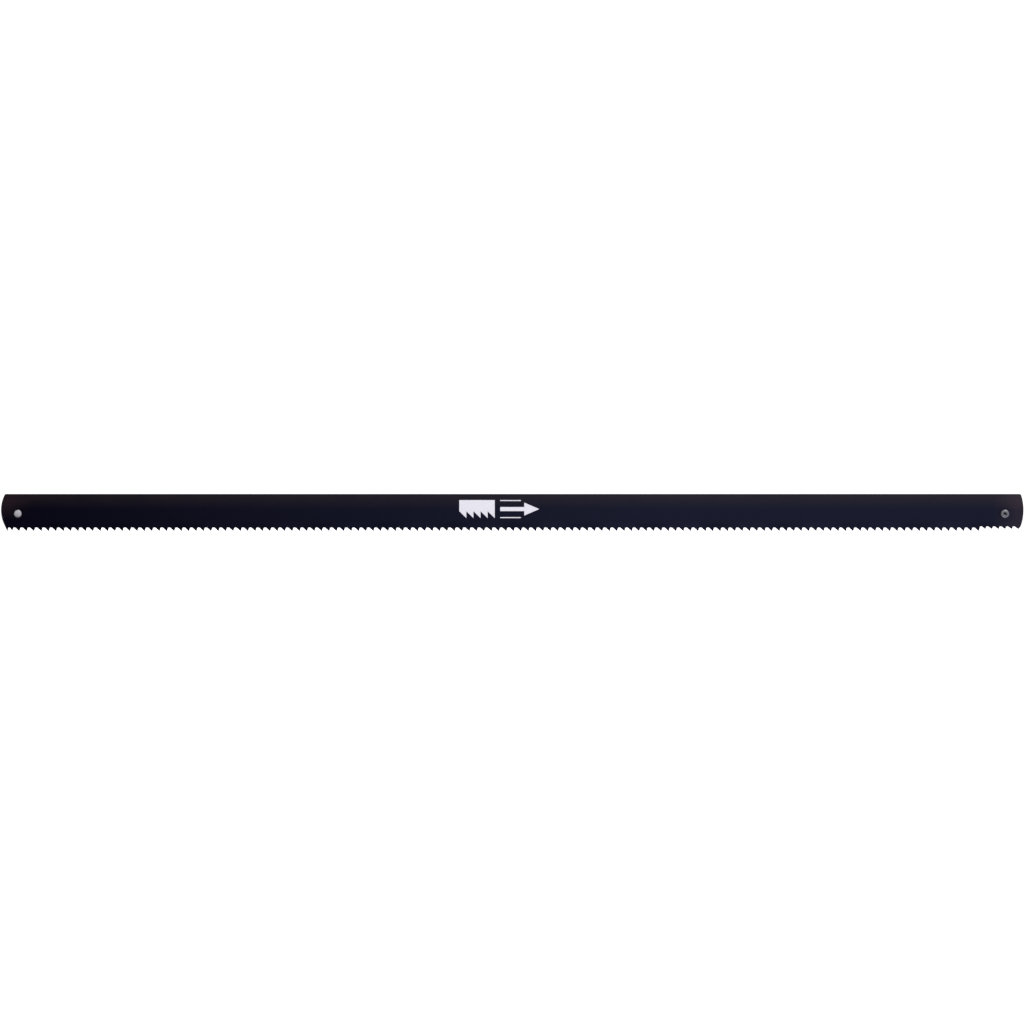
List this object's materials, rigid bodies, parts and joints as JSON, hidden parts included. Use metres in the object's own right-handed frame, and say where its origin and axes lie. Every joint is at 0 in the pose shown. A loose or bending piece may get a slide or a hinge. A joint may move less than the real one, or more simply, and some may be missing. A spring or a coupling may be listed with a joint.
{
  "type": "pin-ended hand saw blade",
  "caption": "Slim toothed steel saw blade with arched ends and a cross pin pressed through each end, for a small tensioned hand saw frame.",
  "frame": {"origin": "middle of the line through the tooth tips, half way across the blade's thickness", "axes": "+X along the blade, the way the teeth point; +Y across the blade, along the pins; +Z from the teeth to the back edge"},
  "size_m": [0.15, 0.0046, 0.0055],
  "materials": {
    "blade_steel": "satin blued steel, blue-black with a browner back edge",
    "pin_steel": "cropped and dulled steel wire",
    "mark_ink": "thin screen-printed ink"
  },
  "bodies": {
    "root": {"blade": "blade_steel", "front_pin": "pin_steel", "rear_pin": "pin_steel"}
  },
  "joints": []
}
